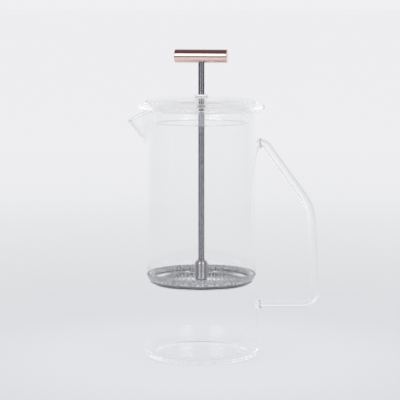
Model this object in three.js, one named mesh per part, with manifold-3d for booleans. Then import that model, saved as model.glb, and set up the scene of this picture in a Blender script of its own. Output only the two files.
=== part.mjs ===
// A glass french press. A straight beaker with a pulled spout and a bent-rod handle carries a
// hollow glass lid. A steel plunger rod with a copper cross bar slides through the lid's
// bushing and carries the filter: a perforated plate, a rim spring, a mesh screen and a cross
// plate, clamped between a domed hub and a threaded bush.
// Millimetres, +Z up. The origin is the centre of the foot, on the surface the press stands on.
// The spout points along -X and the handle along +X.
import * as THREE from 'three';
import { mergeVertices } from 'three/addons/utils/BufferGeometryUtils.js';
import Module from 'manifold-3d';

const wasm = await Module();
wasm.setup();

// ---- Driving dimensions ----

const GAP = 0.3; // air between two pieces that touch or clamp each other

const BEAKER_RADIUS = 48;
const BEAKER_HEIGHT = 204;
const GLASS_WALL = 2.2;
const FLOOR_THICKNESS = 3.4;
const FOOT_CORNER = 5; // outer radius where the wall turns into the foot
const BEAKER_BORE = BEAKER_RADIUS - GLASS_WALL;

const SPOUT_REACH = 13.1; // how far the lip stands out past the wall
const SPOUT_DROP = 8.7; // how far the lip hangs below the rim
const SPOUT_DEPTH = 24.3; // height of wall that is pulled out
const SPOUT_HALF_ANGLE = THREE.MathUtils.degToRad(34);
const SPOUT_SHARPNESS = 1.6; // 1 is a broad round lip, and more is a narrower one

const HANDLE_ROD = 7.2;
const HANDLE_TOP = 176.4; // height of the upper weld's centre
const HANDLE_BOTTOM = 42.4; // height of the lower weld's centre
const HANDLE_ELBOW = [91.1, 123.2]; // x, z where the slope and the grip would meet
const HANDLE_REACH = 94.8; // x of the grip's line where it meets the bottom bar
const HANDLE_NECK = 52.3; // x where the top stub turns down
const HANDLE_BENDS = [3.2, 14, 12.5]; // how far each of its corners is rounded back
const WELD_RADIUS = 4.8;
const WELD_LENGTH = 2.6;

const LID_RADIUS = 52;
const LID_RISE = 10.9; // height of the crown above the beaker's rim
const SKIRT_RADIUS = 39.8;
const SKIRT_DEPTH = 10.9; // how far the skirt hangs below the rim
const SKIRT_DRAFT = 0.7; // how much the skirt draws in towards its foot
const LID_HOLE = 4.3;

const BUSHING_RADIUS = 5.6;
const BUSHING_LIP = 1.5; // height above the crown
const BUSHING_BARREL = 5.4; // length below the crown's glass

const ROD_RADIUS = 2.5;
const THREAD_PITCH = 0.8;
const THREAD_DEPTH = 0.4;

const GRIP_DIAMETER = 11.2;
const GRIP_LENGTH = 43.6;
const GRIP_CENTRE = 248; // height of the bar's own axis
const GRIP_SOCKET = 6;
const GRIP_TURN = THREE.MathUtils.degToRad(-11); // as it rests, right end forwards

const HUB_RADIUS = 5.35;
const HUB_TOP = 80;
const HUB_DOME = 3.4;

const PLATE_SHEET = 0.5;
const PLATE_TOP = 63.7; // upper face of the perforated plate
const PLATE_RADIUS = 42.4;
const PLATE_STEP = 1.2; // height of the edge, which is pressed up, above the plate
const PLATE_STEP_RADIUS = 37.6;

const SPRING_TURNS = 66;
const SPRING_WIRE = 0.7;
const SPRING_COIL = 1.85; // radius of the coil, to the wire's centre
const SPRING_RING = 41.6; // radius of the ring that the coil follows

const SCREEN_Z = 61.9; // underside of the mesh screen
const SCREEN_SHEET = 0.4;
const SCREEN_FOOT_RADIUS = 42.6;
const SCREEN_RIM_RADIUS = 45.3;
const SCREEN_RIM_HEIGHT = 7.1;
const SCREEN_HOLE = 6.2;
const EYELET_SKIN = 0.3;

const CROSS_PLATE_Z = 60.2; // underside of the cross plate
const CROSS_PLATE_SHEET = 0.8;
const CROSS_PLATE_RADIUS = 38.5;
const CROSS_PLATE_BEAD = 0.8; // radius of the rolled edge

const BUSH_RADIUS = 4.6;
const BUSH_FLATS = 11; // across the flats of the bush's hexagon
const BUSH_BOTTOM = 55.9;

// Heights that follow from the dimensions above.
const LID_SEAT = BEAKER_HEIGHT + GAP;
const LID_CROWN = BEAKER_HEIGHT + LID_RISE;
const ROD_BORE = ROD_RADIUS + GAP;
const SLIDING_BORE = ROD_RADIUS + 0.1;
const ROD_BOTTOM = BUSH_BOTTOM + 1;
const GRIP_UNDERSIDE = GRIP_CENTRE - GRIP_DIAMETER / 2;
const ROD_TOP = GRIP_UNDERSIDE + GRIP_SOCKET - GAP;
const PLATE_UNDERSIDE = PLATE_TOP - PLATE_SHEET;

// ---- Materials ----

const paint = (name, color, roughness, metalness, extra = {}) =>
	new THREE.MeshStandardMaterial({ name, color, roughness, metalness, ...extra });

const glass = paint('borosilicate glass', 0xeaf1ee, 0.03, 0, { transparent: true, opacity: 0.35 });
const silicone = paint('clear silicone', 0xe6e8de, 0.45, 0, { transparent: true, opacity: 0.8 });
const steel = paint('stainless steel', 0x9a9da5, 0.22, 1);
const springWire = paint('spring wire', 0xb4b7bd, 0.25, 1);
const meshSteel = paint('woven steel mesh', 0xa3a6ad, 0.4, 1);
const copper = paint('polished copper', 0xe0a58a, 0.12, 1);

// ---- Solids ----

// A geometry as a manifold-3d solid, its shared vertices merged.
function solid(geometry) {
	const bare = geometry.clone();
	bare.deleteAttribute('normal');
	bare.deleteAttribute('uv');
	const merged = mergeVertices(bare, 1e-4);
	return new wasm.Manifold(new wasm.Mesh({
		numProp: 3,
		vertProperties: new Float32Array(merged.attributes.position.array),
		triVerts: new Uint32Array(merged.index.array),
	}));
}

// A manifold-3d solid as a geometry, with flat normals.
function geometryOf(manifold) {
	const mesh = manifold.getMesh();
	const geometry = new THREE.BufferGeometry();
	geometry.setAttribute('position', new THREE.BufferAttribute(mesh.vertProperties, 3));
	geometry.setIndex(new THREE.BufferAttribute(mesh.triVerts, 1));
	const flat = geometry.toNonIndexed();
	flat.computeVertexNormals();
	return flat;
}

// The outline points [radius, height], turned about the Z axis.
function turned(points, segments) {
	const profile = points.map(([r, z]) => new THREE.Vector2(Math.max(r, 0), z));
	return new THREE.LatheGeometry(profile, segments).rotateX(Math.PI / 2);
}

// A closed ring outline, turned about the Z axis: the last point is the first again.
const turnedRing = (points, segments) => turned([...points, points[0]], segments);

// Points on an arc of [radius, height], from one angle to another, in degrees.
function arc(r, z, radius, from, to, steps) {
	return Array.from({ length: steps + 1 }, (_, i) => {
		const angle = THREE.MathUtils.degToRad(from + (to - from) * i / steps);
		return [r + radius * Math.cos(angle), z + radius * Math.sin(angle)];
	});
}

// An upright cylinder between two heights.
function post(radius, bottom, top, sides) {
	return new THREE.CylinderGeometry(radius, radius, top - bottom, sides)
		.rotateX(Math.PI / 2)
		.translate(0, 0, (bottom + top) / 2);
}

const press = new THREE.Group();

function place(name, geometry, material) {
	const mesh = new THREE.Mesh(geometry, material);
	mesh.name = name;
	press.add(mesh);
	return mesh;
}

// ---- Beaker ----

// Draws the wall out into the spout: a full pull at the lip that fades out down the wall and
// to each side. The columns of vertices are first drawn together around the spout.
function pullSpout(geometry) {
	const crowd = 0.6; // share by which the columns close up at the spout
	const position = geometry.attributes.position;
	for (let i = 0; i < position.count; i++) {
		const x = position.getX(i);
		const y = position.getY(i);
		const z = position.getZ(i);
		const radius = Math.hypot(x, y);
		const turn = Math.atan2(y, x);
		const angle = turn + crowd * Math.sin(turn);
		const aside = Math.PI - Math.abs(angle);
		const across = aside < SPOUT_HALF_ANGLE
			? (0.5 + 0.5 * Math.cos(Math.PI * aside / SPOUT_HALF_ANGLE)) ** SPOUT_SHARPNESS
			: 0;
		const up = THREE.MathUtils.clamp((z - BEAKER_HEIGHT + SPOUT_DEPTH) / SPOUT_DEPTH, 0, 1);
		const inWall = radius > BEAKER_BORE - 1 ? 1 : 0;
		const pulled = radius + SPOUT_REACH * up * across * inWall;
		position.setXYZ(
			i,
			pulled * Math.cos(angle),
			pulled * Math.sin(angle),
			z - SPOUT_DROP * up * across * inWall,
		);
	}
	return geometry;
}

function beaker() {
	const lip = GLASS_WALL / 2;
	const innerCorner = 3.5;
	const spoutFoot = BEAKER_HEIGHT - SPOUT_DEPTH;
	return pullSpout(turned([
		[0, 0],
		...arc(BEAKER_RADIUS - FOOT_CORNER, FOOT_CORNER, FOOT_CORNER, -90, 0, 4),
		[BEAKER_RADIUS, spoutFoot],
		...arc(BEAKER_RADIUS - lip, BEAKER_HEIGHT - lip, lip, 0, 180, 4),
		[BEAKER_BORE, spoutFoot],
		...arc(BEAKER_BORE - innerCorner, FLOOR_THICKNESS + innerCorner, innerCorner, 0, -90, 3),
		[0, FLOOR_THICKNESS],
	], 60));
}

// ---- Handle ----

// A path through corners in the XZ plane, each corner rounded over its own reach.
function bentPath(corners, reaches) {
	const points = corners.map(([x, z]) => new THREE.Vector3(x, 0, z));
	const path = new THREE.CurvePath();
	let from = points[0];
	for (let i = 1; i < points.length - 1; i++) {
		const corner = points[i];
		const reach = reaches[i - 1];
		const before = corner.clone().add(points[i - 1].clone().sub(corner).setLength(reach));
		const after = corner.clone().add(points[i + 1].clone().sub(corner).setLength(reach));
		path.add(new THREE.LineCurve3(from, before));
		path.add(new THREE.QuadraticBezierCurve3(before, corner, after));
		from = after;
	}
	path.add(new THREE.LineCurve3(from, points.at(-1)));
	return path;
}

// The flared end where the hot rod was pressed onto the wall, along X.
function weld(height) {
	const start = BEAKER_RADIUS - 1;
	const rod = HANDLE_ROD / 2;
	const flare = turned([
		[0, start],
		[WELD_RADIUS, start],
		[WELD_RADIUS - 0.4, BEAKER_RADIUS + 0.6],
		[rod + 0.3, BEAKER_RADIUS + 1.5],
		[rod, BEAKER_RADIUS + WELD_LENGTH],
		[0, BEAKER_RADIUS + WELD_LENGTH],
	], 16);
	return solid(flare.rotateY(Math.PI / 2).translate(0, 0, height));
}

function handle() {
	const buried = BEAKER_RADIUS - 1;
	const path = bentPath([
		[buried, HANDLE_TOP],
		[HANDLE_NECK, HANDLE_TOP],
		HANDLE_ELBOW,
		[HANDLE_REACH, HANDLE_BOTTOM],
		[buried, HANDLE_BOTTOM],
	], HANDLE_BENDS);
	const section = new THREE.Shape().absarc(0, 0, HANDLE_ROD / 2, 0, 2 * Math.PI);
	const rod = new THREE.ExtrudeGeometry(section, { steps: 48, curveSegments: 5, extrudePath: path });
	const outline = solid(post(BEAKER_RADIUS + GAP, 0, BEAKER_HEIGHT, 96));
	return geometryOf(solid(rod).add(weld(HANDLE_TOP)).add(weld(HANDLE_BOTTOM)).subtract(outline));
}

// ---- Lid ----

// One wall of glass: the crown, folded back under itself at the edge to rest on the rim, and
// the skirt that hangs inside the beaker.
function lid() {
	const skirtBore = SKIRT_RADIUS - GLASS_WALL;
	const skirtBottom = BEAKER_HEIGHT - SKIRT_DEPTH;
	const lip = GLASS_WALL / 2;
	const edgeZ = LID_SEAT + 2.1;
	const crown = (radius, inset) => {
		const height = LID_CROWN - inset;
		const share = radius / LID_RADIUS;
		return [radius, height - (LID_CROWN - edgeZ) * share ** 7.5 - 1.1 * share ** 2];
	};
	return turnedRing([
		[LID_HOLE, LID_CROWN - GLASS_WALL],
		[LID_HOLE, LID_CROWN],
		...[20, 34, 42, 46.5, 49.5].map((r) => crown(r, 0)),
		...arc(LID_RADIUS - 2.1, edgeZ, 2.1, 20, -90, 4),
		[SKIRT_RADIUS + 1.6, LID_SEAT],
		[SKIRT_RADIUS, LID_SEAT - 1.6],
		...arc(SKIRT_RADIUS - SKIRT_DRAFT - lip, skirtBottom + lip, lip, 0, -180, 4),
		[skirtBore, LID_SEAT + 0.6],
		[skirtBore + 1.6, LID_SEAT + GLASS_WALL],
		[47.2, LID_SEAT + GLASS_WALL],
		...[46, 42, 34, 20].map((r) => crown(r, GLASS_WALL)),
	].reverse(), 48);
}

// Clear grommet in the lid's hole: a lip above the crown and a long barrel below it.
function lidBushing() {
	const neck = LID_HOLE - GAP;
	const glassTop = LID_CROWN + GAP;
	const glassBottom = LID_CROWN - GLASS_WALL - GAP;
	const bottom = glassBottom - BUSHING_BARREL;
	const top = glassTop + BUSHING_LIP;
	const edge = 0.5;
	return turnedRing([
		[SLIDING_BORE, bottom],
		[BUSHING_RADIUS - edge, bottom],
		[BUSHING_RADIUS, bottom + edge],
		[BUSHING_RADIUS, glassBottom],
		[neck, glassBottom],
		[neck, glassTop],
		[BUSHING_RADIUS, glassTop],
		[BUSHING_RADIUS, top - edge],
		[BUSHING_RADIUS - edge, top],
		[SLIDING_BORE, top],
	], 24);
}

// ---- Plunger rod and grip ----

// Grooves of a thread between two heights, as outline points going up.
function threadOutline(bottom, top) {
	const turns = Math.floor((top - bottom) / THREAD_PITCH);
	return Array.from({ length: turns }, (_, i) => {
		const z = bottom + i * THREAD_PITCH;
		return [
			[ROD_RADIUS, z],
			[ROD_RADIUS - THREAD_DEPTH, z + THREAD_PITCH / 2],
		];
	}).flat();
}

function plungerRod() {
	const chamfer = 0.5;
	const lowerThreadTop = BUSH_BOTTOM + 8;
	return turned([
		[0, ROD_BOTTOM],
		[ROD_RADIUS - chamfer, ROD_BOTTOM],
		...threadOutline(ROD_BOTTOM + chamfer, lowerThreadTop),
		[ROD_RADIUS, lowerThreadTop],
		...threadOutline(GRIP_UNDERSIDE + 0.6, ROD_TOP - chamfer),
		[ROD_RADIUS - chamfer, ROD_TOP],
		[0, ROD_TOP],
	], 18);
}

// A plain round bar with softened ends and a blind tapped hole from below.
function gripBar() {
	const radius = GRIP_DIAMETER / 2;
	const half = GRIP_LENGTH / 2;
	const edge = 0.5;
	const bar = turned([
		[0, -half],
		[radius - edge, -half],
		[radius, -half + edge],
		[radius, half - edge],
		[radius - edge, half],
		[0, half],
	], 32).rotateY(Math.PI / 2).rotateZ(GRIP_TURN).translate(0, 0, GRIP_CENTRE);
	const socket = post(ROD_BORE, GRIP_CENTRE - radius - 1, GRIP_UNDERSIDE + GRIP_SOCKET, 18);
	return geometryOf(solid(bar).subtract(solid(socket)));
}

// ---- Filter ----

// The domed steel sleeve that the rod ends in. Its foot presses on the perforated plate.
function hub() {
	const foot = PLATE_TOP + GAP;
	return turnedRing([
		[ROD_BORE, foot],
		[HUB_RADIUS, foot],
		...arc(HUB_RADIUS - HUB_DOME, HUB_TOP - HUB_DOME, HUB_DOME, 0, 65, 4),
		[ROD_BORE + 0.35, HUB_TOP],
		[ROD_BORE, HUB_TOP],
	], 24);
}

// A ring of equal upright holes.
function holeRing(count, ringRadius, holeRadius, bottom, top, offset = 0) {
	let holes = null;
	for (let i = 0; i < count; i++) {
		const angle = 2 * Math.PI * (i + offset) / count;
		const hole = solid(post(holeRadius, bottom, top, 6)
			.translate(ringRadius * Math.cos(angle), ringRadius * Math.sin(angle), 0));
		holes = holes ? holes.add(hole) : hole;
	}
	return holes;
}

// The upper plate, punched all over, with its edge pressed up to carry the spring.
function spiralPlate() {
	const slope = 0.9;
	const inner = PLATE_STEP_RADIUS;
	const body = solid(turnedRing([
		[ROD_BORE, PLATE_UNDERSIDE],
		[inner, PLATE_UNDERSIDE],
		[inner + slope, PLATE_UNDERSIDE + PLATE_STEP],
		[PLATE_RADIUS, PLATE_UNDERSIDE + PLATE_STEP],
		[PLATE_RADIUS, PLATE_TOP + PLATE_STEP],
		[inner + slope - 0.3, PLATE_TOP + PLATE_STEP],
		[inner - 0.3, PLATE_TOP],
		[ROD_BORE, PLATE_TOP],
	], 48));
	const rings = [
		[6, 10.5],
		[10, 16],
		[14, 21.5],
		[18, 27],
		[22, 32.5],
	];
	const holes = rings.map(([count, radius], i) =>
		holeRing(count, radius, 1.2, PLATE_UNDERSIDE - 1, PLATE_TOP + 1, i % 2 / 2));
	return geometryOf(holes.reduce((plate, ring) => plate.subtract(ring), body));
}

// The closed path of a coil that runs round the plate's edge.
class RimCoil extends THREE.Curve {
	getPoint(t, target = new THREE.Vector3()) {
		const around = 2 * Math.PI * t;
		const turn = SPRING_TURNS * around;
		const radius = SPRING_RING + SPRING_COIL * Math.cos(turn);
		const seat = PLATE_TOP + PLATE_STEP + GAP + SPRING_WIRE / 2 + SPRING_COIL;
		return target.set(
			radius * Math.cos(around),
			radius * Math.sin(around),
			seat + SPRING_COIL * Math.sin(turn),
		);
	}
}

// The rim spring, with its two ends a small gap apart.
function rimSpring() {
	const coil = new RimCoil();
	const stepsPerTurn = 5;
	const steps = SPRING_TURNS * stepsPerTurn;
	const open = 0.997; // share of the ring that the wire covers
	const points = Array.from({ length: steps + 1 }, (_, i) => coil.getPoint(open * i / steps));
	const path = new THREE.CurvePath();
	for (let i = 0; i < steps; i++) {
		path.add(new THREE.LineCurve3(points[i], points[i + 1]));
	}
	path.getSpacedPoints = () => points;
	const section = new THREE.Shape().absarc(0, 0, SPRING_WIRE / 2, 0, 2 * Math.PI);
	return new THREE.ExtrudeGeometry(section, { steps, curveSegments: 2, extrudePath: path });
}

// The woven mesh disc. Its edge is turned up and leans outwards against the beaker.
function meshScreen() {
	const rimTop = SCREEN_Z + SCREEN_RIM_HEIGHT;
	const floorTop = SCREEN_Z + SCREEN_SHEET;
	return turnedRing([
		[SCREEN_HOLE, SCREEN_Z],
		[SCREEN_FOOT_RADIUS - 0.8, SCREEN_Z],
		[SCREEN_FOOT_RADIUS, SCREEN_Z + 0.7],
		[SCREEN_RIM_RADIUS, rimTop],
		[SCREEN_RIM_RADIUS - SCREEN_SHEET, rimTop],
		[SCREEN_FOOT_RADIUS - SCREEN_SHEET, floorTop + 0.6],
		[SCREEN_FOOT_RADIUS - 1, floorTop],
		[SCREEN_HOLE, floorTop],
	], 56);
}

// The thin ring that is folded over the mesh round its centre hole.
function screenEyelet() {
	const bore = BUSH_RADIUS + GAP;
	const outer = SCREEN_HOLE + 1.7;
	const grooveBottom = SCREEN_Z - GAP;
	const grooveTop = SCREEN_Z + SCREEN_SHEET + GAP;
	return turnedRing([
		[bore, grooveBottom - EYELET_SKIN],
		[outer, grooveBottom - EYELET_SKIN],
		[outer, grooveBottom],
		[SCREEN_HOLE - GAP, grooveBottom],
		[SCREEN_HOLE - GAP, grooveTop],
		[outer, grooveTop],
		[outer, grooveTop + EYELET_SKIN],
		[bore, grooveTop + EYELET_SKIN],
	], 24);
}

// One window of the cross plate, between two spokes.
function window(index, count) {
	const inner = 13;
	const outer = 33.5;
	const spoke = 3;
	const middle = 2 * Math.PI * (index + 0.5) / count;
	const half = (radius) => Math.PI / count - Math.asin(spoke / radius);
	const hole = new THREE.Path();
	hole.absarc(0, 0, outer, middle - half(outer), middle + half(outer), false);
	hole.absarc(0, 0, inner, middle + half(inner), middle - half(inner), true);
	hole.closePath();
	return hole;
}

// The lower plate: six spokes, a ring and a rolled edge, so that the coffee reaches the mesh.
function crossPlate() {
	const spokes = 6;
	const disc = new THREE.Shape().absarc(0, 0, CROSS_PLATE_RADIUS - 0.2, 0, 2 * Math.PI);
	disc.holes.push(new THREE.Path().absarc(0, 0, BUSH_RADIUS + GAP, 0, 2 * Math.PI, true));
	for (let i = 0; i < spokes; i++) {
		disc.holes.push(window(i, spokes));
	}
	const sheet = new THREE.ExtrudeGeometry(disc, {
		depth: CROSS_PLATE_SHEET,
		bevelEnabled: false,
		curveSegments: 12,
	}).translate(0, 0, CROSS_PLATE_Z);
	const middle = CROSS_PLATE_Z + CROSS_PLATE_SHEET / 2;
	const bead = turned(arc(CROSS_PLATE_RADIUS, middle, CROSS_PLATE_BEAD, 0, 360, 6), 48);
	return geometryOf(solid(sheet).add(solid(bead)));
}

// The threaded bush that is staked in the cross plate and screws onto the rod.
function crossPlateBush() {
	const shoulder = CROSS_PLATE_Z - GAP;
	const corner = BUSH_FLATS / 2 / Math.cos(Math.PI / 6);
	const flange = solid(post(corner, BUSH_BOTTOM, shoulder, 6));
	const collar = solid(post(BUSH_RADIUS, BUSH_BOTTOM + 1, PLATE_UNDERSIDE - GAP, 24));
	const bore = solid(post(ROD_BORE, BUSH_BOTTOM - 1, PLATE_TOP, 18));
	return geometryOf(flange.add(collar).subtract(bore));
}

// ---- Assembly ----

place('beaker', beaker(), glass);
place('handle', handle(), glass);
place('lid', lid(), glass);
place('lid_bushing', lidBushing(), silicone);
place('plunger_rod', plungerRod(), steel);
place('grip_bar', gripBar(), copper);
place('hub', hub(), steel);
place('spiral_plate', spiralPlate(), steel);
place('rim_spring', rimSpring(), springWire);
place('mesh_screen', meshScreen(), meshSteel);
place('screen_eyelet', screenEyelet(), steel);
place('cross_plate', crossPlate(), steel);
place('cross_plate_bush', crossPlateBush(), steel);

export default press;
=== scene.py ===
# A glass french press, put together from the beaker outwards: fused glass beaker and handle,
# glass lid with its bushing, steel plunger rod, copper cross-bar, and the filter on the rod's
# foot. Metres, +Z up, spout towards -X, handle towards +X. The origin is the centre of the foot.
import math

import bmesh
import bpy
from mathutils import Matrix, Vector


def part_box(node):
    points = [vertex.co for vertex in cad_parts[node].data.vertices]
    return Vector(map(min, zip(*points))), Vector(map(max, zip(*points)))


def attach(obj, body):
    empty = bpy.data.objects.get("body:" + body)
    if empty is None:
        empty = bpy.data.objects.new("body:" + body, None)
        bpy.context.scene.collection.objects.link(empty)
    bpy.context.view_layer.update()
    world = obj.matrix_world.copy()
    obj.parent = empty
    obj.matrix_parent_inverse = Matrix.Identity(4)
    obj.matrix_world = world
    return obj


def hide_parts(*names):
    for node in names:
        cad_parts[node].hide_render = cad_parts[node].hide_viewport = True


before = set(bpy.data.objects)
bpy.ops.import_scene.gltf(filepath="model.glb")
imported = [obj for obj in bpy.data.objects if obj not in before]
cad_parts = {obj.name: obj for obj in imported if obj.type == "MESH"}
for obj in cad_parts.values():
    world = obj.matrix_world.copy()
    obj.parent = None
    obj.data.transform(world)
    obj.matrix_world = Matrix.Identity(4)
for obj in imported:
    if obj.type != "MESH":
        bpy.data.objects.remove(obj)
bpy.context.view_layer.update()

# ---- Beaker and handle ----
# One piece of clear borosilicate glass. The body is a drawn tube with a blown foot, a
# fire-polished rim and a spout pulled out while hot. The handle is a bent glass rod whose ends
# were pressed onto the wall and flared there.

MM = 0.001

RIM_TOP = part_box("beaker")[1][2]
WALL_OUTSIDE = 48 * MM
WALL = 2.2 * MM
WALL_INSIDE = WALL_OUTSIDE - WALL
FLOOR_GLASS = 3.4 * MM
FOOT_CORNER = 5 * MM
INNER_CORNER = 3.5 * MM
PUSHED_UP_FOOT = 0.7 * MM
# The foot's underside from its middle outwards: radius in mm, and share of the push-up.
FOOT_UNDERSIDE = [(0, 1), (20, 1), (34, 0.9), (38, 0.35), (41, 0)]
FLOOR_DISH = [(36 * MM, 0.15 * MM), (20 * MM, PUSHED_UP_FOOT - 0.1 * MM), (0, PUSHED_UP_FOOT)]
WALL_ROWS = 34
SPOUT_ROWS = 9

SPOUT_REACH = 13.1 * MM
SPOUT_DROP = 8.7 * MM
SPOUT_DEPTH = 24.3 * MM
SPOUT_HALF_ANGLE = math.radians(34)
SPOUT_SHARPNESS = 1.6

HANDLE_ROD = 3.6 * MM
WELD_FLARE = 4.8 * MM
WELD_LENGTH = 2.6 * MM
WELD_FADE = 2.5
WELD_PITCH = 0.3 * MM
ROD_PITCH = 1.2 * MM
# The rod's corners (x, z) and how far along the rod each inner corner is rounded, in mm.
HANDLE_CORNERS = [(47, 176.4), (52.3, 176.4), (91.1, 123.2), (94.8, 42.4), (47, 42.4)]
HANDLE_BENDS = [3.2, 14, 12.5]
BEND_STEPS = 12

# A straight run this many times longer than its neighbour gets a point near the corner.
LONG_RUN = 4
CORNER_TURN = math.radians(4)
CORNER_HOLD = 0.12 * MM
SAME_PLACE = 1e-6


def arc(radius, height, size, start, end, steps):
    """Outline points (r, z) along an arc, with its angles in degrees."""
    points = []
    for step in range(steps + 1):
        angle = math.radians(start + (end - start) * step / steps)
        points.append((radius + size * math.cos(angle), height + size * math.sin(angle)))
    return points


def steadied(outline, closed):
    """The outline with a point more where a long straight run meets a corner's short steps."""
    points = [Vector(point) for point in outline]
    count = len(points)
    steady = []
    for i in range(count if closed else count - 1):
        start, end = points[i], points[(i + 1) % count]
        run = end - start
        steady.append(start)
        before = start - points[i - 1] if closed or i else run
        after = points[(i + 2) % count] - end if closed or i + 2 < count else run
        if run.length > LONG_RUN * before.length and run.angle(before) > CORNER_TURN:
            steady.append(start + run.normalized() * CORNER_HOLD)
        if run.length > LONG_RUN * after.length and run.angle(after) > CORNER_TURN:
            steady.append(end - run.normalized() * CORNER_HOLD)
    return steady if closed else [*steady, points[-1]]


def turned(outline, steps, closed):
    """A bmesh of an outline of (r, z) turned once round the Z axis."""
    shape = bmesh.new()
    verts = [shape.verts.new((max(r, 0), 0, z)) for r, z in steadied(outline, closed)]
    edges = [shape.edges.new(pair) for pair in zip(verts, verts[1:])]
    if closed:
        edges.append(shape.edges.new((verts[-1], verts[0])))
    bmesh.ops.spin(
        shape, geom=verts + edges, cent=(0, 0, 0), axis=(0, 0, 1),
        angle=2 * math.pi, steps=steps, use_merge=True,
    )
    bmesh.ops.remove_doubles(shape, verts=shape.verts, dist=SAME_PLACE)
    bmesh.ops.recalc_face_normals(shape, faces=shape.faces)
    return shape


def piece(name, shape, crease=35):
    """An object of a bmesh, smooth but for the edges sharper than crease degrees."""
    mesh = bpy.data.meshes.new(name)
    shape.to_mesh(mesh)
    shape.free()
    made = bpy.data.objects.new(name, mesh)
    bpy.context.scene.collection.objects.link(made)
    mesh.shade_smooth()
    mesh.set_sharp_from_angle(angle=math.radians(crease))
    return made


def joined(base, tool, operation, crease=35):
    """Joins or cuts one closed piece with another, which is used up."""
    cut = base.modifiers.new("cut", "BOOLEAN")
    cut.operation = operation
    cut.solver = "MANIFOLD"
    cut.object = tool
    whole = bpy.data.meshes.new_from_object(
        base.evaluated_get(bpy.context.evaluated_depsgraph_get())
    )
    base.modifiers.clear()
    base.data = whole
    whole.shade_smooth()
    whole.set_sharp_from_angle(angle=math.radians(crease))
    bpy.data.objects.remove(tool)
    return base


def pull_spout(shape):
    """Draws the rim out and down into a lip that fades down the wall and to each side."""
    for vert in shape.verts:
        x, y, z = vert.co
        radius = math.hypot(x, y)
        aside = math.pi - abs(math.atan2(y, x))
        if radius < WALL_INSIDE - MM or aside > SPOUT_HALF_ANGLE:
            continue
        up = min(max((z - RIM_TOP + SPOUT_DEPTH) / SPOUT_DEPTH, 0), 1)
        across = (0.5 + 0.5 * math.cos(math.pi * aside / SPOUT_HALF_ANGLE)) ** SPOUT_SHARPNESS
        pulled = 1 + SPOUT_REACH * up * across / radius
        vert.co = (x * pulled, y * pulled, z - SPOUT_DROP * up * across)


def handle_line():
    """Points (x, z) along the handle rod, with each corner rounded over its own reach."""
    corners = [Vector((x * MM, z * MM)) for x, z in HANDLE_CORNERS]
    points = [corners[0]]
    for before, corner, after, reach in zip(corners, corners[1:], corners[2:], HANDLE_BENDS):
        enter = corner + (before - corner).normalized() * reach * MM
        leave = corner + (after - corner).normalized() * reach * MM
        for step in range(BEND_STEPS + 1):
            t = step / BEND_STEPS
            points.append(enter * (1 - t) ** 2 + corner * 2 * t * (1 - t) + leave * t ** 2)
    points.append(corners[-1])
    near_weld = WALL_OUTSIDE + 2 * WELD_LENGTH
    line = [points[0]]
    for start, end in zip(points, points[1:]):
        pitch = WELD_PITCH if min(start.x, end.x) < near_weld else ROD_PITCH
        cuts = max(1, round((end - start).length / pitch))
        line += [start.lerp(end, cut / cuts) for cut in range(1, cuts + 1)]
    return line


def swept(name, points, size, widths, resolution):
    """A closed mesh swept along points, each with its own width as a share of size."""
    line = bpy.data.curves.new(name, "CURVE")
    line.dimensions = "3D"
    line.bevel_depth = size
    line.bevel_resolution = resolution
    line.use_fill_caps = True
    spline = line.splines.new("POLY")
    spline.points.add(len(points) - 1)
    for slot, point, width in zip(spline.points, points, widths):
        slot.co = (*point, 1)
        slot.radius = width
    carrier = bpy.data.objects.new(name, line)
    bpy.context.scene.collection.objects.link(carrier)
    shape = bmesh.new()
    shape.from_mesh(bpy.data.meshes.new_from_object(
        carrier.evaluated_get(bpy.context.evaluated_depsgraph_get())
    ))
    bpy.data.objects.remove(carrier)
    bmesh.ops.remove_doubles(shape, verts=shape.verts, dist=SAME_PLACE)
    bmesh.ops.recalc_face_normals(shape, faces=shape.faces)
    return shape


half_wall = WALL / 2
spout_foot = RIM_TOP - SPOUT_DEPTH
wall_foot = FOOT_CORNER + 3 * MM
wall_rows = [
    wall_foot + (spout_foot - wall_foot) * row / WALL_ROWS for row in range(WALL_ROWS + 1)
] + [
    spout_foot + (SPOUT_DEPTH - WALL) * row / SPOUT_ROWS for row in range(1, SPOUT_ROWS + 1)
]
beaker_outline = [
    *[(radius * MM, PUSHED_UP_FOOT * share) for radius, share in FOOT_UNDERSIDE],
    *arc(WALL_OUTSIDE - FOOT_CORNER, FOOT_CORNER, FOOT_CORNER, -90, 0, 12),
    *[(WALL_OUTSIDE, z) for z in wall_rows],
    *arc(WALL_OUTSIDE - half_wall, RIM_TOP - half_wall, half_wall, 0, 180, 10),
    *[(WALL_INSIDE, z) for z in reversed(wall_rows)],
    *arc(WALL_INSIDE - INNER_CORNER, FLOOR_GLASS + INNER_CORNER, INNER_CORNER, 0, -90, 8),
    *[(radius, FLOOR_GLASS + rise) for radius, rise in FLOOR_DISH],
]
beaker_shape = turned(beaker_outline, 180, closed=False)
pull_spout(beaker_shape)
vessel = piece("glass_vessel", beaker_shape)

rod_line = handle_line()
weld_widths = []
for x, z in rod_line:
    past_wall = max(x - WALL_OUTSIDE, 0)
    flare = max(1 - past_wall / WELD_LENGTH, 0) ** WELD_FADE
    weld_widths.append(1 + (WELD_FLARE / HANDLE_ROD - 1) * flare)
handle_shape = swept(
    "handle_rod", [(x, 0, z) for x, z in rod_line], HANDLE_ROD, weld_widths, 7,
)
vessel = joined(vessel, piece("handle_rod", handle_shape), "UNION", 48)


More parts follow.
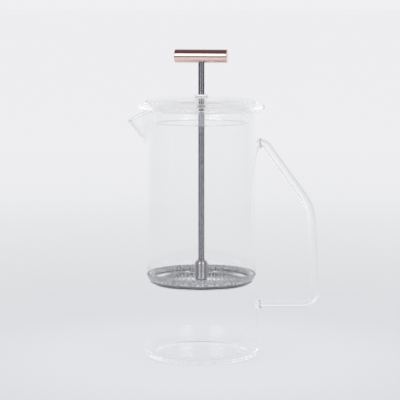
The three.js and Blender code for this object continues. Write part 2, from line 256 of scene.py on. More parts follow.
class Value:
    """A number, vector or colour on its way through the nodes; arithmetic adds Math nodes."""

    def __init__(self, nodes, socket):
        self.nodes = nodes
        self.socket = socket

    def maths(self, operation, first, second):
        return self.nodes.node("ShaderNodeMath", {"operation": operation}, {0: first, 1: second})

    def __add__(self, other):
        return self.maths("ADD", self, other)

    def __sub__(self, other):
        return self.maths("SUBTRACT", self, other)

    def __rsub__(self, other):
        return self.maths("SUBTRACT", other, self)

    def __mul__(self, other):
        return self.maths("MULTIPLY", self, other)

    def __truediv__(self, other):
        return self.maths("DIVIDE", self, other)

    def __pow__(self, other):
        return self.maths("POWER", self, other)

    __radd__ = __add__
    __rmul__ = __mul__


class Nodes:
    """The nodes of one material, of a lamp or of the world."""

    def __init__(self, owner):
        owner.use_nodes = True
        self.tree = owner.node_tree
        self.tree.nodes.clear()

    def node(self, kind, settings=None, inputs=None, out=0):
        """Adds a node with its settings and its sockets' values or links."""
        made = self.tree.nodes.new(kind)
        for name, setting in (settings or {}).items():
            if name == "stops":
                self.set_stops(made.color_ramp, setting)
            else:
                setattr(made, name, setting)
        for name, value in (inputs or {}).items():
            if isinstance(value, Value):
                self.tree.links.new(value.socket, made.inputs[name])
            else:
                made.inputs[name].default_value = value
        return Value(self, made.outputs[out])

    def set_stops(self, ramp, stops):
        while len(ramp.elements) < len(stops):
            ramp.elements.new(0.5)
        for element, (position, colour) in zip(ramp.elements, stops):
            element.position = position
            element.color = (*colour, 1)

    def place(self):
        return self.node("ShaderNodeTexCoord", out="Object")

    def noise(self, scale, stretch=(1, 1, 1), detail=3.0, roughness=0.5):
        stretched = self.node("ShaderNodeMapping", {}, {"Vector": self.place(), "Scale": stretch})
        return self.node(
            "ShaderNodeTexNoise", {},
            {"Vector": stretched, "Scale": scale, "Detail": detail, "Roughness": roughness},
        )

    def parts(self, vector):
        """The X, Y and Z of a vector."""
        split = self.node("ShaderNodeSeparateXYZ", {}, {0: vector}).socket.node
        return [Value(self, output) for output in split.outputs]

    def bump(self, height, distance, strength):
        return self.node(
            "ShaderNodeBump", {},
            {"Height": height, "Distance": distance, "Strength": strength},
        )

    def blend(self, share, first, second):
        return self.node(
            "ShaderNodeMix", {"data_type": "RGBA"}, {0: share, 6: first, 7: second}, out=2,
        )

    def steps(self, value, low, high, to_low=0.0, to_high=1.0):
        """A smooth step from to_low to to_high as value goes from low to high."""
        return self.node(
            "ShaderNodeMapRange", {"interpolation_type": "SMOOTHSTEP"},
            {0: value, 1: low, 2: high, 3: to_low, 4: to_high},
        )

    def surface(self, **sockets):
        """Ends a material in one Principled shader."""
        named = {name.replace("_", " "): value for name, value in sockets.items()}
        self.end("ShaderNodeOutputMaterial", self.node("ShaderNodeBsdfPrincipled", {}, named))

    def end(self, kind, shader):
        """Links a shader to the output node of this kind."""
        self.tree.links.new(shader.socket, self.tree.nodes.new(kind).inputs["Surface"])


def finish(name):
    """A new material and its nodes."""
    material = bpy.data.materials.new(name)
    return material, Nodes(material)


GLASS_INDEX = 1.36


def glass_finish(name, wave, pull):
    """Clear glass with the faint waves of hot working and a thin film of handling marks."""
    material, nodes = finish(name)
    waves = nodes.noise(wave, pull, detail=1.5)
    marks = nodes.noise(260, detail=4.0)
    smears = nodes.steps(marks, 0.52, 0.78, 0.0, 0.035)
    tint = nodes.blend(nodes.noise(9, detail=1.0), (0.995, 0.998, 0.998, 1), (1.0, 1.0, 1.0, 1))
    nodes.surface(
        Base_Color=tint, Roughness=smears, IOR=GLASS_INDEX, Transmission_Weight=1.0,
        Normal=nodes.bump(waves, 0.2 * MM, 0.4),
    )
    return material


vessel.data.materials.clear()
vessel.data.materials.append(glass_finish("drawn_glass", 26, (1, 1, 0.18)))
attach(vessel, "vessel")
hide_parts("beaker", "handle")

# ---- Lid ----
# A hollow cap of the same clear glass. The crown is folded back under itself at the edge to
# rest on the beaker's rim, and a short skirt hangs inside the beaker to centre it.

LID_EDGE = 52 * MM
LID_SEAT = RIM_TOP + 0.3 * MM
LID_CROWN = RIM_TOP + 10.9 * MM
LID_HOLE = 4.3 * MM
SKIRT_OUTSIDE = 39.8 * MM
SKIRT_INSIDE = SKIRT_OUTSIDE - WALL
SKIRT_DRAFT = 0.7 * MM
SKIRT_BOTTOM = RIM_TOP - 10.9 * MM
FLANGE_ROUND = 2.1 * MM
SHOULDER = 1.6 * MM
INNER_SHOULDER = 1.8 * MM
FOLD_RADIUS = 46 * MM
FOLD_ROUND = 1.2 * MM
CROWN_FALL = 1.1 * MM
CROWN_EDGE_POWER = 7.5
CROWN_RADII = [
    radius * MM
    for radius in (8, 14, 20, 26, 32, 36, 39, 41.5, 43.5, 45, 46.3, 47.5, 48.5, 49.4)
]
HOLLOW_RADII = CROWN_RADII[:8]


def crown(radius, depth):
    """A point of the crown, depth below its upper face."""
    share = radius / LID_EDGE
    edge_fall = (LID_CROWN - LID_SEAT - FLANGE_ROUND) * share ** CROWN_EDGE_POWER
    fall = edge_fall + CROWN_FALL * share ** 2
    return radius, LID_CROWN - depth - fall


skirt_foot = SKIRT_OUTSIDE - SKIRT_DRAFT - half_wall
lid_outline = [
    (LID_HOLE, LID_CROWN - WALL),
    (LID_HOLE, LID_CROWN - 0.4 * MM),
    (LID_HOLE + 0.4 * MM, LID_CROWN),
    *[crown(radius, 0) for radius in CROWN_RADII],
    *arc(LID_EDGE - FLANGE_ROUND, LID_SEAT + FLANGE_ROUND, FLANGE_ROUND, 40, -90, 12),
    (SKIRT_OUTSIDE + 3 * MM, LID_SEAT),
    *arc(SKIRT_OUTSIDE + SHOULDER, LID_SEAT - SHOULDER, SHOULDER, 90, 180, 6),
    *arc(skirt_foot, SKIRT_BOTTOM + half_wall, half_wall, 0, -180, 10),
    *arc(SKIRT_INSIDE + INNER_SHOULDER, LID_SEAT + 0.4 * MM, INNER_SHOULDER, 180, 90, 6),
    *arc(FOLD_RADIUS, LID_SEAT + WALL + FOLD_ROUND, FOLD_ROUND, -90, 40, 6),
    *[crown(radius, WALL) for radius in reversed(HOLLOW_RADII)],
]
lid = piece("glass_lid", turned(lid_outline, 144, closed=True))
lid.data.materials.append(glass_finish("pressed_glass", 38, (1, 1, 1)))
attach(lid, "lid")
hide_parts("lid")

# ---- Lid bushing ----
# A soft milky silicone grommet pushed into the lid's hole. It guides the plunger rod, with a lip
# above the glass and a longer barrel below it.

bushing_low, bushing_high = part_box("lid_bushing")
BUSHING_BORE = 2.6 * MM
BUSHING_OUTSIDE = 5.6 * MM
BUSHING_NECK = LID_HOLE - 0.3 * MM
BUSHING_ROUND = 0.7 * MM
BUSHING_CHAMFER = 0.3 * MM
NECK_PLAY = 0.3 * MM
neck_top = LID_CROWN + NECK_PLAY
neck_bottom = LID_CROWN - WALL - NECK_PLAY
lip_radius = BUSHING_OUTSIDE - BUSHING_ROUND
bushing_outline = [
    (BUSHING_BORE, bushing_low[2] + BUSHING_CHAMFER),
    (BUSHING_BORE + BUSHING_CHAMFER, bushing_low[2]),
    *arc(lip_radius, bushing_low[2] + BUSHING_ROUND, BUSHING_ROUND, -90, 0, 5),
    (BUSHING_OUTSIDE, neck_bottom),
    (BUSHING_NECK, neck_bottom),
    (BUSHING_NECK, neck_top),
    (BUSHING_OUTSIDE, neck_top),
    *arc(lip_radius, bushing_high[2] - BUSHING_ROUND, BUSHING_ROUND, 0, 90, 5),
    (BUSHING_BORE + BUSHING_CHAMFER, bushing_high[2]),
    (BUSHING_BORE, bushing_high[2] - BUSHING_CHAMFER),
]
bushing = piece("silicone_bushing", turned(bushing_outline, 64, closed=True))
milky_silicone, nodes = finish("milky_silicone")
clouds = nodes.noise(420)
nodes.surface(
    Base_Color=nodes.blend(clouds, (0.86, 0.865, 0.86, 1), (0.92, 0.925, 0.92, 1)),
    Roughness=nodes.steps(clouds, 0.3, 0.7, 0.38, 0.52), IOR=1.41,
    Normal=nodes.bump(nodes.noise(1500, detail=2.0), 0.02 * MM, 0.5),
)
bushing.data.materials.append(milky_silicone)
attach(bushing, "lid")
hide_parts("lid_bushing")

# ---- Plunger rod ----
# A centreless-ground stainless rod with a rolled thread at each end: the upper one goes into the
# cross-bar and the lower one into the bush under the filter.

rod_low, rod_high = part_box("plunger_rod")
ROD = 2.5 * MM
THREAD_PITCH = 0.8 * MM
THREAD_DEPTH = 0.4 * MM
ROD_CHAMFER = 0.5 * MM
LOWER_THREAD_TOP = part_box("cross_plate_bush")[0][2] + 8 * MM
UPPER_THREAD_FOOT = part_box("grip_bar")[0][2] + 0.6 * MM


def thread(bottom, top):
    """Outline points of the thread's grooves, going up."""
    points = []
    for turn in range(int((top - bottom) / THREAD_PITCH)):
        z = bottom + turn * THREAD_PITCH
        points += [
            (ROD, z),
            (ROD - THREAD_DEPTH, z + THREAD_PITCH * 0.44),
            (ROD - THREAD_DEPTH, z + THREAD_PITCH * 0.56),
        ]
    return points


rod_outline = [
    (0, rod_low[2]),
    (ROD - ROD_CHAMFER, rod_low[2]),
    *thread(rod_low[2] + ROD_CHAMFER, LOWER_THREAD_TOP),
    (ROD, LOWER_THREAD_TOP),
    (ROD, UPPER_THREAD_FOOT - 0.2 * MM),
    *thread(UPPER_THREAD_FOOT, rod_high[2] - ROD_CHAMFER),
    (ROD - ROD_CHAMFER, rod_high[2]),
    (0, rod_high[2]),
]
rod = piece("steel_rod", turned(rod_outline, 64, closed=False), 28)


def steel_finish(name, dark, light, roughness, grain, stretch, depth, drawn=0.0):
    """Bare stainless steel: drifting grey, fine grain, uneven polish, highlights drawn out."""
    material, nodes = finish(name)
    drift = nodes.noise(70)
    lines = nodes.noise(grain, stretch, detail=4.0, roughness=0.6)
    wipe = nodes.noise(190, detail=4.0)
    nodes.surface(
        Base_Color=nodes.blend(drift, dark, light), Metallic=1.0,
        Roughness=nodes.steps(lines + wipe * 0.5, 0.35, 1.1, roughness * 0.75, roughness * 1.35),
        Anisotropic=drawn, Anisotropic_Rotation=0.25,
        Normal=nodes.bump(lines, depth, 0.5),
    )
    return material


rod.data.materials.append(steel_finish(
    "ground_steel", (0.34, 0.35, 0.39, 1), (0.42, 0.43, 0.47, 1), 0.26, 2400, (1, 1, 0.03),
    0.008 * MM, drawn=0.85,
))
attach(rod, "plunger")
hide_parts("plunger_rod")

# ---- Cross-bar grip ----
# A plain round bar of solid copper, cut square, softened at the ends, mirror polished and
# lacquered. A blind tapped hole in its underside takes the rod.

bar_low, bar_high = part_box("grip_bar")
BAR_RADIUS = 5.6 * MM
BAR_HALF = 21.8 * MM
BAR_TURN = math.radians(-11)
BAR_AXIS = (bar_low[2] + bar_high[2]) / 2
BAR_EDGE = 0.55 * MM
BAR_END_FLAT = 3 * MM
SOCKET_RADIUS = 2.8 * MM
SOCKET_DEPTH = 6 * MM
bar_outline = [
    (0, -BAR_HALF),
    (BAR_END_FLAT, -BAR_HALF),
    *arc(BAR_RADIUS - BAR_EDGE, -BAR_HALF + BAR_EDGE, BAR_EDGE, -90, 0, 5),
    (BAR_RADIUS, -BAR_HALF / 2),
    (BAR_RADIUS, 0),
    (BAR_RADIUS, BAR_HALF / 2),
    *arc(BAR_RADIUS - BAR_EDGE, BAR_HALF - BAR_EDGE, BAR_EDGE, 0, 90, 5),
    (BAR_END_FLAT, BAR_HALF),
    (0, BAR_HALF),
]
bar_shape = turned(bar_outline, 96, closed=False)
lying = Matrix.Rotation(BAR_TURN, 4, "Z") @ Matrix.Rotation(math.pi / 2, 4, "Y")
lying.translation.z = BAR_AXIS
bmesh.ops.transform(bar_shape, matrix=lying, verts=bar_shape.verts)
socket_shape = bmesh.new()
bmesh.ops.create_cone(
    socket_shape, cap_ends=True, segments=32, radius1=SOCKET_RADIUS, radius2=SOCKET_RADIUS,
    depth=2 * SOCKET_DEPTH, matrix=Matrix.Translation((0, 0, bar_low[2])),
)
bar = joined(piece("copper_bar", bar_shape), piece("socket", socket_shape), "DIFFERENCE")

polished_copper, nodes = finish("polished_copper")
turning = nodes.noise(900, (0.04, 1, 1))
patina = nodes.noise(95, detail=4.0)
nodes.surface(
    Base_Color=nodes.blend(patina, (0.92, 0.69, 0.63, 1), (0.96, 0.74, 0.68, 1)),
    Metallic=1.0,
    Roughness=nodes.steps(turning + patina * 0.6, 0.4, 1.2, 0.05, 0.12),
    Coat_Weight=0.25, Coat_Roughness=0.05,
    Normal=nodes.bump(turning, 0.004 * MM, 0.5),
)
bar.data.materials.clear()
bar.data.materials.append(polished_copper)
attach(bar, "grip")
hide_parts("grip_bar")

# ---- Hub ----
# A polished steel sleeve with a domed top, slid over the rod. It presses the perforated plate
# down onto the parts below when the bush is screwed up.

hub_low, hub_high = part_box("hub")
HUB_RADIUS = 5.35 * MM
HUB_DOME = 3.4 * MM
HUB_BORE = 2.8 * MM
HUB_CHAMFER = 0.3 * MM
hub_outline = [
    (HUB_BORE, hub_low[2]),
    (HUB_RADIUS - HUB_CHAMFER, hub_low[2]),
    (HUB_RADIUS, hub_low[2] + HUB_CHAMFER),
    (HUB_RADIUS, hub_low[2] + 6 * MM),
    *arc(HUB_RADIUS - HUB_DOME, hub_high[2] - HUB_DOME, HUB_DOME, 0, 72, 12),
    (HUB_BORE + HUB_CHAMFER, hub_high[2]),
    (HUB_BORE, hub_high[2] - HUB_CHAMFER),
]
hub = piece("domed_hub", turned(hub_outline, 80, closed=True))
polished_steel = steel_finish(
    "polished_steel", (0.60, 0.61, 0.64, 1), (0.70, 0.71, 0.73, 1), 0.29, 1300, (0.25, 0.25, 3),
    0.006 * MM, drawn=0.85,
)
hub.data.materials.append(polished_steel)
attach(hub, "filter")
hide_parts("hub")

# ---- Perforated plate ----
# Half a millimetre of stainless sheet, punched with rings of small holes, its edge pressed up
# into the ledge that carries the rim spring.

SHEET = 0.5 * MM
PLATE_STEP = 1.2 * MM
LEDGE_FOOT = 37.6 * MM
LEDGE_SLOPE = 0.9 * MM
PLATE_RADIUS = 42.4 * MM
PLATE_BORE = 2.8 * MM
HOLE_RADIUS = 1.0 * MM
HOLE_SPACING = 3.7 * MM
FIRST_RING = 9.2 * MM
RING_SPACING = HOLE_SPACING * 0.94
RINGS = 8
plate_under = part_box("spiral_plate")[0][2]
plate_top = plate_under + SHEET
plate_outline = [
    (PLATE_BORE, plate_under),
    (LEDGE_FOOT - 0.5 * MM, plate_under),
    (LEDGE_FOOT, plate_under + 0.12 * MM),
    (LEDGE_FOOT + LEDGE_SLOPE, plate_under + PLATE_STEP - 0.1 * MM),
    (LEDGE_FOOT + LEDGE_SLOPE + 0.5 * MM, plate_under + PLATE_STEP),
    (PLATE_RADIUS, plate_under + PLATE_STEP),
    (PLATE_RADIUS, plate_top + PLATE_STEP),
    (LEDGE_FOOT + LEDGE_SLOPE + 0.1 * MM, plate_top + PLATE_STEP),
    (LEDGE_FOOT + LEDGE_SLOPE - 0.4 * MM, plate_top + PLATE_STEP - 0.12 * MM),
    (LEDGE_FOOT - 0.4 * MM, plate_top + 0.1 * MM),
    (LEDGE_FOOT - 0.9 * MM, plate_top),
    (PLATE_BORE, plate_top),
]
plate = piece("perforated_plate", turned(plate_outline, 128, closed=True), 25)
punches = bmesh.new()
for ring in range(RINGS):
    ring_radius = FIRST_RING + ring * RING_SPACING
    count = round(2 * math.pi * ring_radius / HOLE_SPACING)
    start = Matrix.Rotation(math.pi * (ring % 2) / count, 4, "Z")
    first = bmesh.ops.create_cone(
        punches, cap_ends=True, segments=10, radius1=HOLE_RADIUS, radius2=HOLE_RADIUS,
        depth=4 * SHEET,
        matrix=start @ Matrix.Translation((ring_radius, 0, plate_under + SHEET / 2)),
    )["verts"]
    faces = {face for vert in first for face in vert.link_faces}
    edges = {edge for vert in first for edge in vert.link_edges}
    bmesh.ops.spin(
        punches, geom=[*first, *edges, *faces], cent=(0, 0, 0), axis=(0, 0, 1),
        angle=2 * math.pi * (count - 1) / count, steps=count - 1, use_duplicate=True,
    )
plate = joined(plate, piece("punches", punches), "DIFFERENCE", 25)
plate.data.materials.clear()
plate.data.materials.append(steel_finish(
    "pressed_steel", (0.82, 0.83, 0.86, 1), (0.93, 0.94, 0.96, 1), 0.09, 800, (1, 1, 1),
    0.005 * MM,
))
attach(plate, "filter")
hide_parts("spiral_plate")

# ---- Rim spring ----
# A long coil of bright spring wire, bent into a ring on the plate's ledge. It pushes the mesh
# edge out against the beaker all round.

SPRING_TURNS = 110
SPRING_WIRE = 0.35 * MM
SPRING_COIL = 1.85 * MM
SPRING_RING = 41.6 * MM
SPRING_STEPS = 18
SPRING_PLAY = 0.3 * MM
# The coil stops just short of its own start.
SPRING_SPAN = 2 * math.pi * 0.997
coil_height = plate_top + PLATE_STEP + SPRING_PLAY + SPRING_WIRE + SPRING_COIL
coil_line = []
for step in range(SPRING_TURNS * SPRING_STEPS + 1):
    around = SPRING_SPAN * step / (SPRING_TURNS * SPRING_STEPS)
    turn = 2 * math.pi * step / SPRING_STEPS
    ring_radius = SPRING_RING + SPRING_COIL * math.cos(turn)
    coil_line.append((
        ring_radius * math.cos(around),
        ring_radius * math.sin(around),
        coil_height + SPRING_COIL * math.sin(turn),
    ))
spring = piece(
    "rim_coil", swept("rim_coil", coil_line, SPRING_WIRE, [1] * len(coil_line), 2), 60,
)
spring.data.materials.append(steel_finish(
    "spring_wire", (0.80, 0.81, 0.83, 1), (0.96, 0.97, 0.99, 1), 0.26, 1600, (1, 1, 1),
    0.006 * MM,
))
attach(spring, "filter")
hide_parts("rim_spring")

# ---- Mesh screen ----
# A disc of fine woven stainless wire with its edge turned up and flared. It is made here as the
# sheet that the wires form, with the weave in its finish.

screen_low, screen_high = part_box("mesh_screen")
screen_under = screen_low[2]
screen_top = screen_high[2]
SCREEN_SHEET = 0.4 * MM
SCREEN_FOOT = 42.6 * MM
SCREEN_RIM = 45.3 * MM
SCREEN_HOLE = 6.2 * MM
SCREEN_BEND = 1.6 * MM
SCREEN_FLAT = 25 * MM
WEAVE = 0.42 * MM
FOLD_SHADE_FOOT = screen_under + 0.9 * MM
FOLD_SHADE_TOP = screen_under + 2.3 * MM
lean = math.degrees(math.atan2(
    screen_top - screen_under - SCREEN_BEND, SCREEN_RIM - SCREEN_FOOT,
))
bend_centre = (SCREEN_FOOT - SCREEN_BEND, screen_under + SCREEN_BEND)
screen_outline = [
    (SCREEN_HOLE, screen_under),
    (SCREEN_FLAT, screen_under),
    *arc(*bend_centre, SCREEN_BEND, -90, lean - 90, 8),
    (SCREEN_RIM - 0.05 * MM, screen_top - 0.3 * MM),
    (SCREEN_RIM - 0.1 * MM, screen_top - 0.05 * MM),
    (SCREEN_RIM - SCREEN_SHEET / 2, screen_top),
    (SCREEN_RIM - SCREEN_SHEET, screen_top - 0.1 * MM),
    *arc(*bend_centre, SCREEN_BEND - SCREEN_SHEET, lean - 90, -90, 8),
    (SCREEN_FLAT, screen_under + SCREEN_SHEET),
    (SCREEN_HOLE, screen_under + SCREEN_SHEET),
]
screen = piece("woven_screen", turned(screen_outline, 180, closed=True))

woven_wire, nodes = finish("woven_wire")
across, along, height = nodes.parts(nodes.place())
round_the_rim = nodes.node(
    "ShaderNodeMath", {"operation": "ARCTAN2"}, {0: along, 1: across},
) * SCREEN_RIM
on_rim = nodes.steps(height, screen_under + 0.5 * MM, screen_under + 1.4 * MM)


def wires(nodes, first, second, pitch):
    """How high the wires of a plain weave stand, from two distances across the cloth."""
    turns = 2 * math.pi / pitch
    wave = {}
    for name, distance in (("warp", first), ("weft", second)):
        wave[name] = nodes.node("ShaderNodeMath", {"operation": "SINE"}, {0: distance * turns})
    over = wave["warp"] * wave["weft"]
    return over * 0.35 + (wave["warp"] + wave["weft"]) * 0.16 + 0.5


flat_weave = wires(nodes, across, along, WEAVE)
rim_weave = wires(nodes, round_the_rim, height, WEAVE)
weave = flat_weave * (1 - on_rim) + rim_weave * on_rim
soil = nodes.noise(120, detail=4.0)
creases = nodes.noise(420, (1, 1, 0.35), roughness=0.65)
# Painted shade: the colour darkens to 0.3 along the fold at the foot of the upturned edge, where
# the gap under the mesh is in shadow.
fold_shade = nodes.steps(height, FOLD_SHADE_FOOT, FOLD_SHADE_TOP, 0.30, 1.0)
cloth = nodes.steps(weave, 0.2, 0.75, 0.36, 0.80) + nodes.steps(creases, 0.32, 0.68, -0.10, 0.16)
rim_lean = (SCREEN_RIM - SCREEN_FOOT) / (screen_top - screen_under)
off_axis = (across * across + along * along) ** 0.5
middle = (height - screen_under) * rim_lean + SCREEN_FOOT - SCREEN_SHEET / 2
# The upturned edge's inner face, painted brighter with noise glints: a painted highlight for the
# light it catches from the coil and the plate.
inner = (
    nodes.steps(off_axis - middle, -0.1 * MM, 0.1 * MM, 1.0, 0.0)
    * nodes.steps(height, screen_under + 2.2 * MM, screen_under + 2.8 * MM)
)
painted_glints = nodes.steps(nodes.noise(760, (1, 1, 0.6), detail=2.0), 0.42, 0.58, 0.44, 1.0)
nodes.surface(
    Base_Color=nodes.blend(
        cloth * fold_shade * (1 - inner) + painted_glints * inner, (0.02, 0.02, 0.03, 1),
        (0.97, 0.975, 0.99, 1),
    ),
    Metallic=0.6 - inner * 0.4,
    Roughness=nodes.steps(weave + soil * 0.4, 0.3, 1.1, 0.46, 0.28),
    Normal=nodes.bump(weave, 0.08 * MM, 0.7),
)
screen.data.materials.append(woven_wire)
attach(screen, "filter")
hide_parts("mesh_screen")

# ---- Screen eyelet ----
# A thin steel ring folded over both faces of the mesh round its centre hole, to stop it fraying.

eyelet_low, eyelet_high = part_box("screen_eyelet")
EYELET_BORE = 4.9 * MM
EYELET_OUTSIDE = 7.9 * MM
EYELET_SKIN = 0.3 * MM
EYELET_CHAMFER = 0.1 * MM
GROOVE = SCREEN_HOLE - 0.3 * MM
half_skin = EYELET_SKIN / 2
groove_low = eyelet_low[2] + EYELET_SKIN
groove_high = eyelet_high[2] - EYELET_SKIN
eyelet_outline = [
    (EYELET_BORE, eyelet_low[2] + EYELET_CHAMFER),
    (EYELET_BORE + EYELET_CHAMFER, eyelet_low[2]),
    *arc(EYELET_OUTSIDE - half_skin, eyelet_low[2] + half_skin, half_skin, -90, 90, 6),
    (GROOVE, groove_low),
    (GROOVE, groove_high),
    *arc(EYELET_OUTSIDE - half_skin, groove_high + half_skin, half_skin, -90, 90, 6),
    (EYELET_BORE + EYELET_CHAMFER, eyelet_high[2]),
    (EYELET_BORE, eyelet_high[2] - EYELET_CHAMFER),
]
eyelet = piece("eyelet_ring", turned(eyelet_outline, 64, closed=True))
eyelet.data.materials.append(polished_steel)
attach(eyelet, "filter")
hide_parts("screen_eyelet")

# ---- Cross plate ----
# The stiff lower plate, blanked from thicker sheet with six windows between its spokes, and its
# edge rolled into a bead. It holds the mesh flat from below.

cross_low, cross_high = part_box("cross_plate")
CROSS_SHEET = 0.8 * MM
CROSS_EDGE = 38.5 * MM
CROSS_BORE = 4.9 * MM
BEAD = 0.8 * MM
WINDOW_INSIDE = 13 * MM
WINDOW_OUTSIDE = 33.5 * MM
SPOKE_HALF = 3 * MM
SPOKES = 6
WINDOW_STEPS = 12
cross_middle = (cross_low[2] + cross_high[2]) / 2
cross_under = cross_middle - CROSS_SHEET / 2
bead_meets = math.degrees(math.asin(CROSS_SHEET / 2 / BEAD))
cross_outline = [
    (CROSS_BORE, cross_under),
    *arc(CROSS_EDGE, cross_middle, BEAD, -180 + bead_meets, 180 - bead_meets, 20),
    (CROSS_BORE, cross_under + CROSS_SHEET),
]
cross = piece("spoked_plate", turned(cross_outline, 128, closed=True))
windows = bmesh.new()
window_line = []
for edge, way in ((WINDOW_OUTSIDE, 1), (WINDOW_INSIDE, -1)):
    half_angle = math.pi / SPOKES - math.asin(SPOKE_HALF / edge)
    for step in range(WINDOW_STEPS + 1):
        window_line.append((edge, way * half_angle * (2 * step / WINDOW_STEPS - 1)))
for spoke in range(SPOKES):
    turned_by = 2 * math.pi * (spoke + 0.5) / SPOKES
    ring = [
        windows.verts.new((
            radius * math.cos(turned_by + angle),
            radius * math.sin(turned_by + angle),
            cross_under - CROSS_SHEET,
        ))
        for radius, angle in window_line
    ]
    lifted = bmesh.ops.extrude_face_region(windows, geom=[windows.faces.new(ring)])["geom"]
    bmesh.ops.translate(
        windows, vec=(0, 0, 3 * CROSS_SHEET),
        verts=[part for part in lifted if isinstance(part, bmesh.types.BMVert)],
    )
bmesh.ops.recalc_face_normals(windows, faces=windows.faces)
cross = joined(cross, piece("windows", windows), "DIFFERENCE")
cross.data.materials.clear()
cross.data.materials.append(steel_finish(
    "bright_steel", (0.86, 0.87, 0.89, 1), (0.94, 0.95, 0.96, 1), 0.30, 900, (1, 1, 1),
    0.006 * MM,
))
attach(cross, "filter")
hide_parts("cross_plate")

# ---- Bush ----
# A turned steel bush with a hexagon foot, staked in the cross plate. Its collar passes through
# the eyelet, and its thread takes the rod.

bush_low, bush_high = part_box("cross_plate_bush")
BUSH_FLATS = 5.5 * MM
BUSH_COLLAR = 4.6 * MM
BUSH_BORE = 2.8 * MM
BUSH_CHAMFER = 0.3 * MM
BORE_CHAMFER = 0.4 * MM
bush_corners = BUSH_FLATS / math.cos(math.pi / 6)
hexagon_top = cross_under - 0.3 * MM
hexagon = bmesh.new()
bmesh.ops.create_cone(
    hexagon, cap_ends=True, segments=6, radius1=bush_corners, radius2=bush_corners,
    depth=hexagon_top - bush_low[2],
    matrix=Matrix.Translation((0, 0, (hexagon_top + bush_low[2]) / 2)),
)
bmesh.ops.bevel(
    hexagon, geom=hexagon.edges[:], offset=0.35 * MM, affect="EDGES", segments=3,
    profile=0.5, material=-1,
)
collar_outline = [
    (0, bush_low[2] + MM),
    (BUSH_COLLAR, bush_low[2] + MM),
    (BUSH_COLLAR, bush_high[2] - BUSH_CHAMFER),
    (BUSH_COLLAR - BUSH_CHAMFER, bush_high[2]),
    (0, bush_high[2]),
]
bore_outline = [
    (0, bush_low[2] - MM),
    (BUSH_BORE + BORE_CHAMFER, bush_low[2] - MM),
    (BUSH_BORE + BORE_CHAMFER, bush_low[2]),
    (BUSH_BORE, bush_low[2] + BORE_CHAMFER),
    (BUSH_BORE, bush_high[2] + MM),
    (0, bush_high[2] + MM),
]
collar = piece("collar", turned(collar_outline, 48, closed=False))
bore = piece("bore", turned(bore_outline, 48, closed=False))
bush = joined(piece("hexagon_bush", hexagon, 25), collar, "UNION")
bush = joined(bush, bore, "DIFFERENCE", 25)
bush.data.materials.clear()
bush.data.materials.append(polished_steel)
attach(bush, "filter")
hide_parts("cross_plate_bush")

# ---- Table ----
# A white table that runs to the horizon, mostly glowing and a little matt. Its colour holds
# painted
# shade: a darker ring around the press where the light falls off.

TABLE_RADIUS = 60
TABLE_DROP = 0.4 * MM
TABLE_TONES_AND_SHADE = [
    (0.00, (0.783, 0.789, 0.821)),
    (0.06, (0.773, 0.779, 0.809)),
    (0.11, (0.732, 0.738, 0.763)),
    (0.16, (0.732, 0.738, 0.756)),
    (0.35, (0.777, 0.783, 0.796)),
    (0.60, (0.840, 0.842, 0.855)),
    (1.00, (0.866, 0.866, 0.881)),
]
TONES_REACH = 2
PAINTED_FRONT_SHADE = (0.09, 0.09, 0.10, 1)
MATT_SHARE = 0.10
table_shape = bmesh.new()
bmesh.ops.create_circle(
    table_shape, cap_ends=True, segments=96, radius=TABLE_RADIUS,
    matrix=Matrix.Translation((0, 0, -TABLE_DROP)),
)
table = piece("table", table_shape)


def whole(nodes, count, low, high):
    """1 where a whole number is from low to high, and 0 elsewhere."""
    above = nodes.steps(count, low - 0.8, low - 0.2)
    return above * nodes.steps(count, high + 0.2, high + 0.8, 1.0, 0.0)


def ray_kind(nodes, most_reflections):
    """Whether a ray was mirrored last, left glass last, or was mirrored inside the beaker."""
    rays = nodes.node("ShaderNodeLightPath").socket.node.outputs
    glossy = Value(nodes, rays["Is Glossy Ray"])
    through = Value(nodes, rays["Is Transmission Ray"])
    mirrored = whole(nodes, Value(nodes, rays["Glossy Depth"]), 1, most_reflections)
    both_walls = whole(nodes, Value(nodes, rays["Transmission Depth"]), 4, 4)
    return glossy, through, mirrored * both_walls


def mirror_share(nodes):
    """How much a ray sees of the unlit room: all of it off bare metal, less through glass."""
    glossy, through, inside = ray_kind(nodes, 2)
    return glossy * (1 - through) + inside * through * 0.8


white_table, nodes = finish("white_table")
distance = nodes.node("ShaderNodeVectorMath", {"operation": "LENGTH"}, {0: nodes.place()},
                      out="Value")
# The ring of painted shade around the press, by distance from it.
painted_shade_tone = nodes.node(
    "ShaderNodeValToRGB", {"stops": TABLE_TONES_AND_SHADE}, {0: distance / TONES_REACH},
)
away = nodes.parts(nodes.place())[1] / distance
# Painted shade: out in front of the press the table turns dark for mirrored rays and rays through
# glass.
unlit = nodes.steps(distance, 0.55, 1.1) * nodes.steps(away, 0.25, 0.7, 1.0, 0.0)
painted_shade_tone = nodes.blend(unlit * mirror_share(nodes), painted_shade_tone, PAINTED_FRONT_SHADE)
glow = nodes.node("ShaderNodeEmission", {}, {"Color": painted_shade_tone, "Strength": 1.0})
matt = nodes.node("ShaderNodeBsdfDiffuse", {}, {"Color": painted_shade_tone, "Roughness": 0.0})
lit = nodes.node("ShaderNodeMixShader", {}, {0: MATT_SHARE, 1: glow, 2: matt})
nodes.end("ShaderNodeOutputMaterial", lit)
table.data.materials.append(white_table)

# ---- Light ----
# Two tall soft boxes in front, left and right, and a pale room. Mirrored in metal, the room is
# dark in front and overhead. Seen straight or through glass, its far side is duller above the
# horizon, which gives the glass its grey edges.

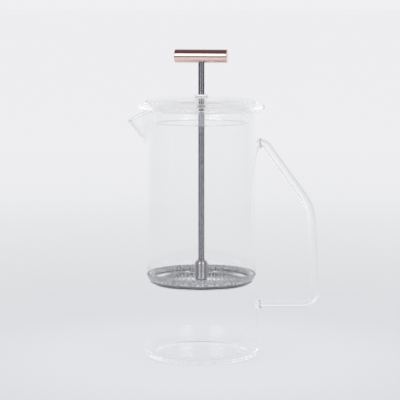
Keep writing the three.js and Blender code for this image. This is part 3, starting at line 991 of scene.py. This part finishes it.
SOFT_BOX_DISTANCE = 1.7
SOFT_BOX_AZIMUTH = 34
SOFT_BOX_WIDTH = 0.95
SOFT_BOX_HEIGHT = 1.34
SOFT_BOX_CENTRE = 0.88
SOFT_BOX_AIM = Vector((0, 0, 0.30))
SOFT_BOX_POWER = 7.0
DARK_ROOM = (0.115, 0.082, 0.095, 1)
PALE_ROOM = (0.84, 0.84, 0.86, 1)
HORIZON = (0.868, 0.868, 0.883, 1)
DULL_ROOM = (0.70, 0.70, 0.715, 1)


def lamp_share(nodes):
    """Full strength, but dimmed where only the edge of a glass piece bends the view to a lamp."""
    _, through, inside = ray_kind(nodes, 1)
    return 1 - through * (1 - inside * 0.7) * 0.75


for side in (-1, 1):
    lamp = bpy.data.lights.new("soft_box", "AREA")
    lamp.shape = "RECTANGLE"
    lamp.size = SOFT_BOX_WIDTH
    lamp.size_y = SOFT_BOX_HEIGHT
    lamp.energy = SOFT_BOX_POWER
    nodes = Nodes(lamp)
    panel = nodes.node(
        "ShaderNodeEmission", {}, {"Color": (1, 1, 1, 1), "Strength": lamp_share(nodes)},
    )
    nodes.end("ShaderNodeOutputLight", panel)
    box = bpy.data.objects.new("soft_box", lamp)
    azimuth = math.radians(SOFT_BOX_AZIMUTH) * side
    place = Vector((
        SOFT_BOX_DISTANCE * math.sin(azimuth), -SOFT_BOX_DISTANCE * math.cos(azimuth),
        SOFT_BOX_CENTRE,
    ))
    box.location = place
    box.rotation_euler = (SOFT_BOX_AIM - place).to_track_quat("-Z", "Y").to_euler()
    bpy.context.scene.collection.objects.link(box)

room = bpy.data.worlds.new("room")
bpy.context.scene.world = room
nodes = Nodes(room)
_, forward, upward = nodes.parts(nodes.node("ShaderNodeTexCoord", out="Generated"))
far_side = nodes.steps(forward, 0.25, 0.7) * nodes.steps(upward, 0.55, 0.95, 1.0, 0.0)
mirrored = nodes.blend(far_side, DARK_ROOM, PALE_ROOM)
direct = nodes.blend(far_side * nodes.steps(upward, 0.04, 0.14), HORIZON, DULL_ROOM)
seen = nodes.blend(mirror_share(nodes), direct, mirrored)
sky = nodes.node("ShaderNodeBackground", {}, {"Color": seen, "Strength": 1.0})
nodes.end("ShaderNodeOutputWorld", sky)

# ---- Camera ----
# A long lens a little above the cross-bar, looking slightly down, with the horizon near the
# frame's top. The bounces are enough for light to find its way out of the thick glass.

CAMERA_PLACE = Vector((-1.1 * MM, -1.441, 0.293))
CAMERA_TARGET = Vector((-1.1 * MM, 0, 0.1294))
GLASS_BOUNCES = 600

camera_lens = bpy.data.cameras.new("camera")
camera_lens.lens = 158.0
camera_lens.sensor_width = 36
camera_lens.clip_end = 200
camera = bpy.data.objects.new("camera", camera_lens)
camera.location = CAMERA_PLACE
camera.rotation_euler = (CAMERA_TARGET - CAMERA_PLACE).to_track_quat("-Z", "Y").to_euler()
bpy.context.scene.collection.objects.link(camera)
bpy.context.scene.camera = camera

scene = bpy.context.scene
scene.view_settings.view_transform = "Standard"
scene.cycles.max_bounces = GLASS_BOUNCES
scene.cycles.transmission_bounces = GLASS_BOUNCES
scene.cycles.glossy_bounces = GLASS_BOUNCES
scene.cycles.transparent_max_bounces = 16
